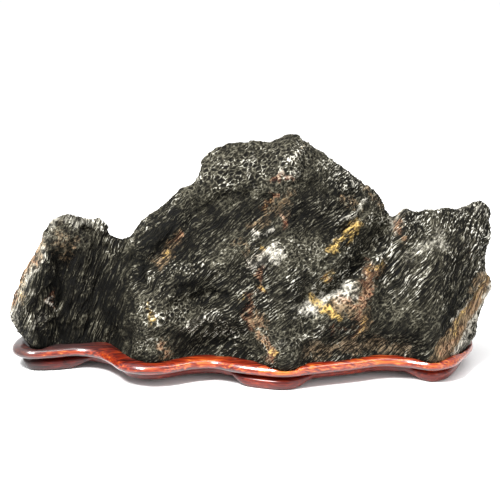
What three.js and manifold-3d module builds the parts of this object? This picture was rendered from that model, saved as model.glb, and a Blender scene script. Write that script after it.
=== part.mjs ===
// A suiseki: a dark, ribbed mountain stone resting in the carved wooden stand that was cut to fit it.
// Millimetres. +X runs to the right along the range, +Y to the back, +Z up. The floor is z = 0.
import * as THREE from 'three';
import { mergeVertices } from 'three/addons/utils/BufferGeometryUtils.js';
import Module from 'manifold-3d';

const wasm = await Module();
wasm.setup();

// Heights that the stone and the stand share.
const STAND_TOP = 20.6; // top of the rim, where wood and stone meet
const SEAT_DEPTH = 6.2; // how deep the stone is let into the wood
const SEAT_GAP = 0.4; // clearance between stone and wood, all round
const SEAT_FLOOR = STAND_TOP - SEAT_DEPTH;
const STONE_FOOT = SEAT_FLOOR + SEAT_GAP;

// The stone's outline seen from the front, as [x, z] points joined by straight, craggy lines.
const LEFT_EDGE = [
  [-185, STONE_FOOT], [-189, 22], [-194, 28], [-199, 37], [-200, 45], [-195, 62], [-189, 77],
  [-181, 88], [-175, 98], [-171, 110], [-164, 119], [-157, 125],
];
const CREST = [
  [-157, 125], [-150, 127], [-139, 123], [-129, 121], [-121, 118], [-118, 109], [-112, 105],
  [-102, 104], [-96, 107], [-92, 117], [-81, 126], [-67, 137], [-58, 146], [-49, 150], [-44, 156],
  [-41, 166], [-37, 174], [-30, 180], [-18, 184], [0, 186], [17, 185], [24, 190], [32, 194],
  [40, 192], [47, 185], [56, 178], [68, 170], [81, 162], [86, 154], [96, 149], [104, 144],
  [110, 137], [112, 128], [117, 121], [123, 127], [129, 132], [137, 128], [148, 130], [160, 133],
  [171, 132], [180, 137], [188, 139], [198, 134],
];
const RIGHT_EDGE = [
  [182, STONE_FOOT], [189, 23], [192, 36], [199, 49], [204, 58], [204, 66], [199, 75],
  [194, 80], [195, 96], [198, 114], [198, 134],
];

// The stone in plan, as [x, y] points of smooth curves: its front and back toes, and the spine
// that runs under the crest and parts the front face from the back one.
const FRONT_TOE = [
  [-186, -25], [-177, -29], [-164, -23], [-142, -18], [-119, -16], [-107, -36], [-96, -52],
  [-80, -62], [-62, -58], [-40, -48], [-14, -53], [10, -66], [29, -74], [47, -66], [78, -58],
  [104, -46], [128, -49], [149, -59], [166, -44], [182, -26],
];
const BACK_TOE = [
  [-186, 8], [-165, 26], [-130, 30], [-104, 37], [-70, 45], [-35, 40], [0, 42], [40, 46],
  [80, 37], [112, 31], [145, 36], [168, 31], [182, 10],
];
const SPINE = [
  [-199, -8], [-155, 0], [-118, 4], [-90, 6], [0, 8], [33, 4], [80, 6], [112, 8], [128, 2],
  [165, -3], [198, -5],
];
const FRONT_FALL = { power: 1.5, fall: 1.75 }; // how the front face rounds over to the crest
const BACK_FALL = { power: 1.9, fall: 2.2 };
const END_ROUND = 17; // radius of the rounding at the two ends
const COLUMNS = 69; // stations along the stone
const ROWS = 22; // steps from its foot to its crest

// Ridges (height above 0) and hollows (below 0) that stand on a face. The path is in [x, z], and
// left and right are how far the form reaches to either side of it, seen along the path.
const FRONT_FORMS = [
  { name: 'left buttress', path: [[-177, 16], [-180, 60], [-164, 106]], height: 8, left: 24, right: 22 },
  { name: 'buttress groove', path: [[-163, 16], [-160, 66], [-153, 92]], height: -8, left: 12, right: 13 },
  { name: 'pocket in the buttress', path: [[-172, 50], [-163, 58]], height: -4, left: 11, right: 11 },
  { name: 'left wing face', path: [[-128, 30], [-122, 96]], height: -4, left: 30, right: 26 },
  { name: 'left wing knob', path: [[-126, 112], [-120, 113]], height: 5, left: 12, right: 10 },
  { name: 'west crease', path: [[-110, 14], [-99, 52], [-98, 98]], height: -9, left: 13, right: 14 },
  { name: 'west shoulder', path: [[-90, 106], [-66, 126], [-46, 146]], height: 5, left: 15, right: 19 },
  { name: 'niche', path: [[-84, 78], [-76, 96], [-66, 110]], height: -10, left: 12, right: 16 },
  { name: 'west rib', path: [[-88, 72], [-66, 81], [-38, 92], [2, 112]], height: 8, left: 12, right: 18 },
  { name: 'recess under the rib', path: [[-58, 65], [-28, 73]], height: -7, left: 13, right: 12 },
  { name: 'west ledge', path: [[-83, 52], [-56, 59], [-14, 57]], height: 8, left: 18, right: 12 },
  { name: 'west boulder', path: [[-86, 14], [-80, 42]], height: 5, left: 24, right: 24 },
  { name: 'low recess', path: [[-56, 20], [-24, 34], [0, 30]], height: -7, left: 20, right: 21 },
  { name: 'brow', path: [[-38, 152], [-8, 164], [26, 166]], height: 7, left: 28, right: 20 },
  { name: 'hollow under the brow', path: [[-50, 132], [-18, 141], [10, 140]], height: -6, left: 17, right: 24 },
  { name: 'summit rib', path: [[10, 134], [20, 160], [32, 184]], height: 4, left: 14, right: 16 },
  { name: 'central gully', path: [[10, 42], [2, 74], [-4, 112], [12, 146]], height: -5, left: 13, right: 13 },
  { name: 'white knuckle', path: [[6, 99], [18, 106]], height: 6, left: 14, right: 16 },
  { name: 'middle bulge', path: [[14, 92], [42, 98], [70, 102]], height: 8, left: 22, right: 22 },
  { name: 'east hollow', path: [[38, 128], [72, 124]], height: -6, left: 20, right: 16 },
  { name: 'east ledge', path: [[66, 108], [84, 122], [106, 132]], height: 8, left: 11, right: 11 },
  { name: 'bite above the ledge', path: [[88, 139], [103, 139]], height: -4, left: 10, right: 8 },
  { name: 'east trough', path: [[60, 74], [84, 95], [108, 116]], height: -11, left: 15, right: 15 },
  { name: 'seam edge', path: [[54, 56], [74, 64], [91, 81], [112, 101], [121, 116]], height: 8, left: 11, right: 24 },
  { name: 'white shelf', path: [[38, 53], [70, 55], [92, 58]], height: 5, left: 12, right: 13 },
  { name: 'nose', path: [[27, 14], [24, 40], [10, 64]], height: 6, left: 22, right: 21 },
  { name: 'smooth facet', path: [[50, 28], [94, 31]], height: -6, left: 13, right: 17 },
  { name: 'slab belly', path: [[120, 50], [150, 90], [176, 118]], height: 8, left: 38, right: 38 },
  { name: 'slab undercut', path: [[104, 27], [122, 31], [136, 30]], height: -6, left: 14, right: 17 },
  { name: 'toe', path: [[149, 14], [146, 36]], height: 4, left: 14, right: 14 },
];
const BACK_FORMS = [
  { name: 'back spur', path: [[24, 14], [10, 80], [26, 158]], height: 12, left: 46, right: 44 },
  { name: 'back west gully', path: [[-58, 14], [-62, 70], [-50, 116]], height: -9, left: 24, right: 24 },
  { name: 'back east gully', path: [[72, 14], [82, 70], [98, 112]], height: -10, left: 25, right: 22 },
  { name: 'back left buttress', path: [[-146, 14], [-148, 92]], height: 7, left: 32, right: 29 },
  { name: 'back shelf', path: [[-46, 66], [-4, 76], [52, 62]], height: 7, left: 13, right: 19 },
  { name: 'back right rib', path: [[138, 14], [152, 70], [168, 112]], height: 7, left: 27, right: 24 },
  { name: 'back hollow', path: [[-14, 116], [34, 122]], height: -7, left: 24, right: 21 },
  { name: 'back notch lip', path: [[-112, 60], [-100, 92]], height: -6, left: 19, right: 19 },
];
// The broken edge under the right wing: below this line the front falls away to the back.
const BREAK_LINE = { from: [145, 18], to: [193, 82], slope: 0.75, starts: 22, full: 46 };
// The tail slab behind the broken edge sits further back than the wing.
const TAIL = { x: 204, z: 58, reach: 34, back: 13 };

// Weathering. The ribs follow the stone's bedding, which turns from steep to slanting to steep.
const BEDDING = { west: 68, middle: 38, east: 57 }; // degrees from the level
const BEDDING_TURNS = { west: [-110, -88], east: [84, 116] };
const RIBS = { pitch: 13, run: 60, height: 1.5 };
const LUMPS = { size: 26, height: 2.6 };
const PITS = { size: 11, height: 1.1 };
const WANDER = { size: 24, reach: 5 }; // how far a form's edges stray from its path
const QUIET_RIM = 9; // forms and weathering fade out this close to the outline

const clamp01 = (t) => Math.min(1, Math.max(0, t));
const mix = (a, b, t) => a + (b - a) * t;
const smooth = (a, b, t) => THREE.MathUtils.smoothstep(t, a, b);

/** Straight interpolation of [key, value] points, held level past both ends. */
function alongLine(points, key) {
  let i = 1;
  while (i < points.length - 1 && points[i][0] < key) i += 1;
  const [k0, v0] = points[i - 1];
  const [k1, v1] = points[i];
  return mix(v0, v1, clamp01((key - k0) / (k1 - k0)));
}

/** Smooth interpolation of [key, value] points with a cubic through each. */
function alongCurve(points, key) {
  let i = 1;
  while (i < points.length - 1 && points[i][0] < key) i += 1;
  const [k0, v0] = points[i - 1];
  const [k1, v1] = points[i];
  const before = points[i - 2] ?? points[i - 1];
  const after = points[i + 1] ?? points[i];
  const span = k1 - k0;
  const slope0 = ((v1 - before[1]) / (k1 - before[0])) * span;
  const slope1 = ((after[1] - v0) / (after[0] - k0)) * span;
  const t = clamp01((key - k0) / span);
  const t2 = t * t;
  const t3 = t2 * t;
  return (2 * t3 - 3 * t2 + 1) * v0 + (t3 - 2 * t2 + t) * slope0
    + (3 * t2 - 2 * t3) * v1 + (t3 - t2) * slope1;
}

/** A repeatable number from 0 to 1 for a whole-numbered point. */
function chance(x, y, z) {
  let h = Math.imul(x, 374761393) ^ Math.imul(y, 668265263) ^ Math.imul(z, 974634777);
  h = Math.imul(h ^ (h >>> 13), 1274126177);
  return ((h ^ (h >>> 16)) >>> 0) / 4294967295;
}

/** Smooth noise from -1 to 1 with features about one unit wide. */
function noise(x, y, z) {
  const [x0, y0, z0] = [Math.floor(x), Math.floor(y), Math.floor(z)];
  const [u, v, w] = [smooth(0, 1, x - x0), smooth(0, 1, y - y0), smooth(0, 1, z - z0)];
  const level = (k) => mix(
    mix(chance(x0, y0, z0 + k), chance(x0 + 1, y0, z0 + k), u),
    mix(chance(x0, y0 + 1, z0 + k), chance(x0 + 1, y0 + 1, z0 + k), u),
    v,
  );
  return 2 * mix(level(0), level(1), w) - 1;
}

/** Distance from a point to a path, and the side of the path that the point lies on. */
function nearestOnPath(path, x, z) {
  let best = { distance: Infinity, onLeft: true };
  for (let i = 1; i < path.length; i += 1) {
    const [ax, az] = path[i - 1];
    const [dx, dz] = [path[i][0] - ax, path[i][1] - az];
    const t = clamp01(((x - ax) * dx + (z - az) * dz) / (dx * dx + dz * dz));
    const distance = Math.hypot(x - ax - t * dx, z - az - t * dz);
    if (distance < best.distance) {
      best = { distance, onLeft: dx * (z - az) - dz * (x - ax) > 0 };
    }
  }
  return best;
}

/** How far a face's ridges and hollows raise it at a point. */
function formsAt(forms, x, z) {
  const strayX = x + WANDER.reach * noise(x / WANDER.size, z / WANDER.size, 11.5);
  const strayZ = z + WANDER.reach * noise(x / WANDER.size, z / WANDER.size, 37.5);
  let total = 0;
  forms.forEach(({ path, height, left, right }, order) => {
    const { distance, onLeft } = nearestOnPath(path, strayX, strayZ);
    const swell = 1 + 0.3 * noise(x / WANDER.size, z / WANDER.size, order + 60.5);
    total += height * swell * (1 - smooth(0, onLeft ? left : right, distance));
  });
  return total;
}

/** Ribs, lumps and pits left by the weather, as a height over the face. */
function weatherAt(x, y, z) {
  const west = smooth(...BEDDING_TURNS.west, x);
  const east = smooth(...BEDDING_TURNS.east, x - 0.35 * (z - 90));
  const dip = mix(mix(BEDDING.west, BEDDING.middle, west), BEDDING.east, east);
  const angle = THREE.MathUtils.degToRad(dip);
  const run = x * Math.cos(angle) + z * Math.sin(angle);
  const across = z * Math.cos(angle) - x * Math.sin(angle);
  const rib = 1 - 2 * Math.abs(noise(across / RIBS.pitch, run / RIBS.run, y / RIBS.run));
  const lump = noise(x / LUMPS.size, y / LUMPS.size, z / LUMPS.size);
  const pit = noise(x / PITS.size + 40, y / PITS.size, z / PITS.size);
  return RIBS.height * rib + LUMPS.height * lump + PITS.height * pit;
}

/** The share of the way from the left edge to the right edge at which a point lies. */
function shareAcross([x, z]) {
  const left = alongLine(LEFT_EDGE.map(([ex, ez]) => [ez, ex]), z);
  const right = alongLine(RIGHT_EDGE.map(([ex, ez]) => [ez, ex]), z);
  return (x - left) / (right - left);
}
const CREST_BY_SHARE = CREST.map((point) => [shareAcross(point), point[1]]);

/** A point of the stone's outline plane: u runs from left edge to right, v from foot to crest. */
function outlinePoint(u, v) {
  const crest = alongLine(CREST_BY_SHARE, u);
  const z = mix(STONE_FOOT, crest, v);
  const left = alongLine(LEFT_EDGE.map(([ex, ez]) => [ez, ex]), z);
  const right = alongLine(RIGHT_EDGE.map(([ex, ez]) => [ez, ex]), z);
  return { x: mix(left, right, u), z, toCrest: crest - z, toEnd: Math.min(u, 1 - u) * (right - left) };
}

/** Depth of the spine, set back behind the broken edge. */
function spineAt(x, z) {
  const near = 1 - smooth(0, TAIL.reach, Math.hypot(x - TAIL.x, z - TAIL.z));
  return alongCurve(SPINE, x) + TAIL.back * near;
}

/** How far the front has broken away at a point below the break line. */
function brokenAway(x, z) {
  const [ax, az] = BREAK_LINE.from;
  const [dx, dz] = [BREAK_LINE.to[0] - ax, BREAK_LINE.to[1] - az];
  const beyond = ((x - ax) * dz - (z - az) * dx) / Math.hypot(dx, dz);
  return BREAK_LINE.slope * Math.max(0, beyond) * smooth(BREAK_LINE.starts, BREAK_LINE.full, z);
}

/** A point on the front (side -1) or the back (side 1) of the stone. */
function facePoint(u, v, side) {
  const { x, z, toCrest, toEnd } = outlinePoint(u, v);
  const spine = spineAt(x, z);
  const onOutline = u === 0 || u === 1 || v === 1;
  if (onOutline) return [x, spine, z];
  const front = side < 0;
  const { power, fall } = front ? FRONT_FALL : BACK_FALL;
  const toe = alongCurve(front ? FRONT_TOE : BACK_TOE, x);
  const rounding = Math.sqrt(1 - (1 - clamp01(toEnd / END_ROUND)) ** 2);
  const body = Math.abs(toe - spine) * rounding * (1 - v ** fall) ** (1 / power);
  const quiet = smooth(0, QUIET_RIM, Math.min(toCrest, toEnd));
  const inSeat = smooth(STONE_FOOT, STAND_TOP + 6, z);
  const relief = formsAt(front ? FRONT_FORMS : BACK_FORMS, x, z) * inSeat + weatherAt(x, side * 50, z) * inSeat;
  const lost = front ? brokenAway(x, z) : 0;
  const thickness = Math.max(body + relief * quiet - lost, 2.5 * quiet);
  return [x, spine + side * thickness, z];
}

/** Even steps from 0 to 1, drawn closer together at the chosen ends. */
function steps(count, closerAtStart, closerAtEnd) {
  return Array.from({ length: count + 1 }, (_, i) => {
    const t = i / count;
    const eased = t - closerAtStart * t * (1 - t) ** 3 * 2 + closerAtEnd * (1 - t) * t ** 3 * 2;
    return i === 0 || i === count ? t : eased;
  });
}

/** Two triangles over four corners, split along the shorter diagonal. */
function quad(a, b, c, d) {
  const span = (p, q) => Math.hypot(p[0] - q[0], p[1] - q[1], p[2] - q[2]);
  return span(a, c) < span(b, d) ? [a, b, c, a, c, d] : [a, b, d, b, c, d];
}

/** The stone as one closed mesh: a front sheet, a back sheet and a flat foot. */
function stoneGeometry() {
  const us = steps(COLUMNS, 0.35, 0.35);
  const vs = steps(ROWS, 0, 0.45);
  const front = us.map((u) => vs.map((v) => facePoint(u, v, -1)));
  const back = us.map((u) => vs.map((v) => facePoint(u, v, 1)));
  const corners = [];
  for (let i = 0; i < COLUMNS; i += 1) {
    for (let j = 0; j < ROWS; j += 1) {
      corners.push(...quad(front[i][j], front[i + 1][j], front[i + 1][j + 1], front[i][j + 1]));
      corners.push(...quad(back[i][j], back[i][j + 1], back[i + 1][j + 1], back[i + 1][j]));
    }
    corners.push(...quad(front[i][0], back[i][0], back[i + 1][0], front[i + 1][0]));
  }
  return closedGeometry(corners);
}

/** Joins loose corners into a closed indexed geometry, and drops triangles with no area. */
function closedGeometry(corners) {
  const loose = new THREE.BufferGeometry();
  loose.setAttribute('position', new THREE.Float32BufferAttribute(corners.flat(), 3));
  const merged = mergeVertices(loose, 1e-4);
  const index = merged.getIndex().array;
  const kept = [];
  for (let i = 0; i < index.length; i += 3) {
    const [a, b, c] = index.slice(i, i + 3);
    if (a !== b && b !== c && c !== a) kept.push(a, b, c);
  }
  merged.setIndex(kept);
  return merged;
}

/** The stone swollen by the seat's clearance: its sides move outwards and its foot down. */
function grown(geometry, distance) {
  const copy = geometry.clone();
  const { position } = copy.attributes;
  const all = [...copy.getIndex().array];
  const inFoot = (i) => position.getZ(i) < STONE_FOOT + 1e-3;
  const faces = Array.from({ length: all.length / 3 }, (_, i) => all.slice(3 * i, 3 * i + 3));
  copy.setIndex(faces.filter((face) => !face.every(inFoot)).flat());
  copy.computeVertexNormals();
  const { normal } = copy.attributes;
  for (let i = 0; i < position.count; i += 1) {
    const drop = inFoot(i) ? distance : 0;
    position.setXYZ(
      i,
      position.getX(i) + normal.getX(i) * distance,
      position.getY(i) + normal.getY(i) * distance,
      position.getZ(i) + normal.getZ(i) * distance - drop,
    );
  }
  copy.deleteAttribute('normal');
  copy.setIndex(all);
  return copy;
}

/** A three.js geometry as a solid that can be joined and cut. */
function toSolid(geometry) {
  return new wasm.Manifold(new wasm.Mesh({
    numProp: 3,
    vertProperties: new Float32Array(geometry.attributes.position.array),
    triVerts: new Uint32Array(geometry.getIndex().array),
  }));
}

/** A solid back as a three.js geometry. */
function toGeometry(solid) {
  const mesh = solid.getMesh();
  const geometry = new THREE.BufferGeometry();
  geometry.setAttribute('position', new THREE.BufferAttribute(new Float32Array(mesh.vertProperties), 3));
  geometry.setIndex(new THREE.BufferAttribute(new Uint32Array(mesh.triVerts), 1));
  return geometry;
}

// The stand's outline in plan, as [x, y] points of one smooth closed curve: it follows the
// stone's toes along the front, from left to right, and comes back round behind it.
const RIM_OUTLINE = [
  [-199, -12], [-194, -29], [-182, -36], [-163, -34], [-143, -29], [-127, -34], [-116, -46],
  [-104, -65], [-88, -73], [-70, -72], [-46, -61], [-30, -59], [-12, -68], [8, -75], [28, -79],
  [50, -72], [80, -63], [106, -54], [126, -57], [148, -65], [164, -56], [176, -39], [186, -15],
  [187, 6], [180, 28], [165, 42], [140, 48], [112, 44], [84, 50], [54, 60], [20, 57], [-10, 53],
  [-40, 54], [-72, 60], [-104, 53], [-130, 42], [-160, 40], [-186, 24],
];
// The rim's section, from its flat top outwards and down to the underside, as [outset, z].
const RIM_SECTION = [
  [-11, STAND_TOP], [-5.5, 20.2], [-2.6, 18.9], [-0.8, 17.1], [0, 15], [-0.7, 13.2],
  [-3, 11.6], [-5.4, 10.4], [-6.6, 7.8], [-8.2, 5.6],
];
const RIM_STATIONS = 76;

// A foot's section at its middle, as [outset, z]. It is rooted in the board, meets the rim in a
// groove, swells, and turns in to the floor.
const FOOT_SECTION = [
  [-12, 11.2], [-5.4, 10.4], [-2.8, 8.4], [-2.2, 5.4], [-3.6, 1.8], [-6.2, 0], [-20, 0],
  [-24, 3], [-24, 11.2],
];
const FOOT_STATIONS = 10;
const FOOT_TUCKED = { outset: -13, top: 11.2, depth: 0.3 }; // where a foot's ends vanish in the board
const FOOT_SWEEP = 0.26; // the share of a foot's length over which each end sweeps up
// The feet: the stretch of the rim that each follows, anticlockwise, and how far it is set in
// under the rim at its two ends.
const FEET = [
  { name: 'front left', from: [-197, 2], to: [-129, -33], inset: [10, -4] },
  { name: 'front middle', from: [-24, -62], to: [58, -69], inset: [0, 0] },
  { name: 'front right', from: [119, -56], to: [187, -6], inset: [8, 5] },
  { name: 'back right', from: [166, 41], to: [112, 44], inset: [2, 2] },
  { name: 'back middle', from: [34, 59], to: [-28, 53], inset: [2, 2] },
  { name: 'back left', from: [-112, 50], to: [-168, 37], inset: [2, 2] },
];

const rimCurve = new THREE.CatmullRomCurve3(
  RIM_OUTLINE.map(([x, y]) => new THREE.Vector3(x, y, 0)),
  true,
  'centripetal',
);

/** A point set out from the rim's outline by the outset, at height z. t runs once round. */
function rimPoint(t, outset, z) {
  const at = rimCurve.getPointAt(t % 1);
  const along = rimCurve.getTangentAt(t % 1);
  return [at.x + along.y * outset, at.y - along.x * outset, z];
}

/** The place along the rim, from 0 to 1, that lies nearest to a point. */
function rimPlace([x, y]) {
  const places = Array.from({ length: 800 }, (_, i) => i / 800);
  const reach = (t) => {
    const at = rimCurve.getPointAt(t);
    return Math.hypot(at.x - x, at.y - y);
  };
  return places.reduce((best, t) => (reach(t) < reach(best) ? t : best));
}

/** The walls between rings of points, from the first ring to the last. */
function ringWalls(rings) {
  const corners = [];
  const count = rings[0].length;
  for (let r = 0; r < rings.length - 1; r += 1) {
    const [near, far] = [rings[r], rings[r + 1]];
    for (let i = 0; i < count; i += 1) {
      const k = (i + 1) % count;
      corners.push(near[i], near[k], far[k], near[i], far[k], far[i]);
    }
  }
  return corners;
}

/** Triangles that fill a flat ring, seen along an axis pair such as x and y. */
function flatCap(ring, [a, b], flip) {
  const contour = ring.map((point) => new THREE.Vector2(point[a], point[b]));
  return THREE.ShapeUtils.triangulateShape(contour, [])
    .flatMap(([i, j, k]) => (flip ? [ring[k], ring[j], ring[i]] : [ring[i], ring[j], ring[k]]));
}

/** The board with its moulded rim, before the stone's seat is cut. */
function boardGeometry() {
  const ts = Array.from({ length: RIM_STATIONS }, (_, i) => i / RIM_STATIONS);
  const rings = RIM_SECTION.map(([outset, z]) => ts.map((t) => rimPoint(t, outset, z)));
  const sides = ringWalls([...rings].reverse());
  const top = flatCap(rings[0], [0, 1], false);
  const bottom = flatCap(rings[rings.length - 1], [0, 1], true);
  return closedGeometry([...sides, ...top, ...bottom]);
}

/** One foot: its section swept along the rim, swelling from both ends to the middle. */
function footGeometry({ from, to, inset }) {
  const start = rimPlace(from);
  const length = (rimPlace(to) - start + 1) % 1;
  const rings = Array.from({ length: FOOT_STATIONS + 1 }, (_, k) => {
    const share = k / FOOT_STATIONS;
    const full = (1 - Math.abs(2 * share - 1) ** 2.6) ** 0.6;
    const down = smooth(0, FOOT_SWEEP, Math.min(share, 1 - share));
    return FOOT_SECTION.map(([outset, z]) => rimPoint(
      start + length * share,
      mix(FOOT_TUCKED.outset, outset - mix(...inset, share), mix(0.1, 1, full)),
      mix(FOOT_TUCKED.top - FOOT_TUCKED.depth * (FOOT_TUCKED.top - z), z, down),
    ));
  });
  const walls = ringWalls(rings);
  const fan = (ring, flip) => ring.slice(2).flatMap((point, i) => (
    flip ? [ring[0], point, ring[i + 1]] : [ring[0], ring[i + 1], point]
  ));
  return closedGeometry([...walls, ...fan(rings[0], true), ...fan(rings[FOOT_STATIONS], false)]);
}

/** The stand: board and feet carved from one plank, with a seat cut to the stone. */
function standGeometry(stone) {
  const whole = FEET.reduce(
    (solid, foot) => solid.add(toSolid(footGeometry(foot))),
    toSolid(boardGeometry()),
  );
  return toGeometry(whole.subtract(toSolid(grown(stone, SEAT_GAP))));
}

const stoneMaterial = new THREE.MeshStandardMaterial({ color: 0x3d3b36, roughness: 0.75, metalness: 0 });
const woodMaterial = new THREE.MeshStandardMaterial({ color: 0x8e2f17, roughness: 0.3, metalness: 0 });

const stoneShape = stoneGeometry();
const stone = new THREE.Mesh(stoneShape, stoneMaterial);
stone.name = 'stone';
const stand = new THREE.Mesh(standGeometry(stoneShape), woodMaterial);
stand.name = 'wooden_stand';

const suiseki = new THREE.Group();
suiseki.add(stone, stand);
const size = new THREE.Box3().setFromObject(suiseki);
const middle = size.getCenter(new THREE.Vector3());
suiseki.position.set(-middle.x, -middle.y, -size.min.z);

export default suiseki;
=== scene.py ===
"""A mountain-range viewing stone on its carved, lacquered wooden stand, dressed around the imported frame."""

import logging
import math
from dataclasses import dataclass, field
from enum import Enum
from functools import partial
from typing import Any, Union

import bpy
import numpy as np
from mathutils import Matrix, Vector


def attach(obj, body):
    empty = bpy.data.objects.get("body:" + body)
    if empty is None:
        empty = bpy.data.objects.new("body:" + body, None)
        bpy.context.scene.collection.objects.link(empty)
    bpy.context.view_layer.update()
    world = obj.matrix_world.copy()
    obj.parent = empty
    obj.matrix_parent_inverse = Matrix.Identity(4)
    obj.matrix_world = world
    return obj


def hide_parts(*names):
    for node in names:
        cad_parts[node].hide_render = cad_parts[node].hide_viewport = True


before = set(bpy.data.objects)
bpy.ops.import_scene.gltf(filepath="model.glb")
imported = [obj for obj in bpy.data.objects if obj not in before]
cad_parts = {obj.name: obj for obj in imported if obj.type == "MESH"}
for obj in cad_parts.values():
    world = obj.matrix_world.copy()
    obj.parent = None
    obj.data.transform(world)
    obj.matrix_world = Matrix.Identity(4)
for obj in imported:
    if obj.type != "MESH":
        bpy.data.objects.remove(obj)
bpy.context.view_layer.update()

log = logging.getLogger("suiseki")

MM = 0.001  # one millimetre in metres
# The patches and outlines below are in millimetres from the middle of the picture. The frame is
# centred on the object's own box, which lies this far from there.
PLAN_SHIFT = (-2.194, 9.479)
FRONT_ENDS = (14.0, 27.0)  # depths in the frame over which the front's colours fade to the back's
SAME_CORNER = 0.00002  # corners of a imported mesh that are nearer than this, in metres, are one

Point = tuple[float, float]
Size = tuple[float, float, float]
Node = bpy.types.Node
Socket = bpy.types.NodeSocket
Tree = bpy.types.NodeTree
Source = Union[Node, Socket, float]

# Blender's names for the nodes that are used most, and the setting of a range with soft ends.
MATH = "ShaderNodeMath"
VECTOR_MATH = "ShaderNodeVectorMath"
RANGE = "ShaderNodeMapRange"
MIX = "ShaderNodeMix"
RAMP = "ShaderNodeValToRGB"
NOISE = "ShaderNodeTexNoise"
ATTRIBUTE = "ShaderNodeAttribute"
EASED = {"interpolation_type": "SMOOTHSTEP"}


def linear(hex_colour: str) -> tuple[float, float, float, float]:
    """Turns an sRGB hex colour into the linear colour that a shader takes.

    Args:
        hex_colour: The colour, such as "#35332e".

    Returns:
        Linear red, green and blue, and an alpha of 1.
    """
    channels = [int(hex_colour[i:i + 2], 16) / 255 for i in (1, 3, 5)]
    bright = [c / 12.92 if c <= 0.04045 else ((c + 0.055) / 1.055) ** 2.4 for c in channels]
    return (bright[0], bright[1], bright[2], 1.0)


def add_node(tree: Tree, kind: str, inputs: Union[dict, list, tuple] = (), **settings: Any) -> Node:
    """Adds a node with its settings, values and links.

    Args:
        tree: The tree that gets the node.
        kind: The node's type name.
        inputs: The inputs in order, or by name or number. Each is a value, the socket that feeds
            it, or the node whose first output feeds it.
        settings: The node's own properties.

    Returns:
        The new node.
    """
    node = tree.nodes.new(kind)
    for name, value in settings.items():
        setattr(node, name, value)
    for key, value in inputs.items() if isinstance(inputs, dict) else enumerate(inputs):
        source = value.outputs[0] if isinstance(value, Node) else value
        if isinstance(source, Socket):
            tree.links.new(source, node.inputs[key])
        else:
            node.inputs[key].default_value = source
    return node


def weighted_sum(tree: Tree, start: Source, *parts: tuple[Source, Source]) -> Source:
    """Adds parts to a start, each times its weight.

    Args:
        tree: A geometry or shader tree.
        start: What the sum starts from.
        parts: Each part, with its weight.

    Returns:
        The sum.
    """
    for part, weight in parts:
        start = add_node(tree, MATH, [part, weight, start], operation="MULTIPLY_ADD")
    return start


def from_half(tree: Tree, value: Source) -> Node:
    """How far a value lies from a half, so that a noise turns into creases.

    Args:
        tree: A geometry or shader tree.
        value: The value.

    Returns:
        The distance, always above 0.
    """
    centred = add_node(tree, MATH, [value, 0.5], operation="SUBTRACT")
    return add_node(tree, MATH, [centred], operation="ABSOLUTE")


def shaken(tree: Tree, spot: Source, size: float, reach: float) -> Node:
    """Moves a place about by soft noise, so that a pattern read there bends.

    Args:
        tree: A geometry or shader tree.
        spot: The place in millimetres.
        size: The noise's size in millimetres.
        reach: How far it moves the place, from end to end, in millimetres.

    Returns:
        The moved place.
    """
    wander = add_node(tree, NOISE, {"Vector": spot, "Scale": 1.0 / size, "Detail": 1.0})
    centred = add_node(tree, VECTOR_MATH, [wander.outputs["Color"], (0.5,) * 3], operation="SUBTRACT")
    return add_node(tree, VECTOR_MATH, [centred, (reach,) * 3, spot], operation="MULTIPLY_ADD")


def set_ramp(node: Node, stops: Union[list, tuple]) -> None:
    """Gives a colour ramp its stops.

    Args:
        node: The colour ramp node.
        stops: Places from 0 to 1, with their sRGB hex colours.
    """
    elements = node.color_ramp.elements
    while len(elements) < len(stops):
        elements.new(1.0)
    for element, (place, colour) in zip(elements, stops):
        element.position = place
        element.color = linear(colour)


def empty_material(name: str) -> bpy.types.Material:
    """Makes a material with no nodes.

    Args:
        name: The material's name.

    Returns:
        The material.
    """
    material = bpy.data.materials.new(name)
    material.use_nodes = True
    material.node_tree.nodes.clear()
    return material


def select_only(obj: bpy.types.Object) -> None:
    """Makes an object the only selected one, and the active one.

    Args:
        obj: The object.
    """
    bpy.ops.object.select_all(action="DESELECT")
    obj.select_set(True)
    bpy.context.view_layer.objects.active = obj


def apply_modifiers(obj: bpy.types.Object) -> None:
    """Applies all of an object's modifiers, first to last.

    Args:
        obj: The object.
    """
    select_only(obj)
    for modifier in list(obj.modifiers):
        bpy.ops.object.modifier_apply(modifier=modifier.name)


def copy_of_node(node: str, name: str) -> bpy.types.Object:
    """Copies a CAD node into a new object with its corners merged.

    Args:
        node: The CAD node's name.
        name: The new object's name.

    Returns:
        The copy, with a mesh of its own.
    """
    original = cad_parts[node]
    copy = original.copy()
    copy.data = original.data.copy()
    copy.name = copy.data.name = name
    copy.parent = None
    for key in list(copy.keys()):
        del copy[key]
    copy.hide_render = copy.hide_viewport = False
    bpy.context.scene.collection.objects.link(copy)
    select_only(copy)
    bpy.ops.object.mode_set(mode="EDIT")
    bpy.ops.mesh.select_all(action="SELECT")
    bpy.ops.mesh.remove_doubles(threshold=SAME_CORNER)
    bpy.ops.object.mode_set(mode="OBJECT")
    copy.data.materials.clear()
    return copy


def corners(obj: bpy.types.Object) -> np.ndarray:
    """Reads an object's vertices.

    Args:
        obj: The object.

    Returns:
        Rows of x, y and z in metres.
    """
    flat = np.empty(len(obj.data.vertices) * 3, np.float32)
    obj.data.vertices.foreach_get("co", flat)
    return flat.reshape(-1, 3).astype(float)


def smoothstep(low: float, high: float, value: np.ndarray) -> np.ndarray:
    """Rises smoothly from 0 at low to 1 at high."""
    t = np.clip((value - low) / (high - low), 0.0, 1.0)
    return t * t * (3.0 - 2.0 * t)


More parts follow.
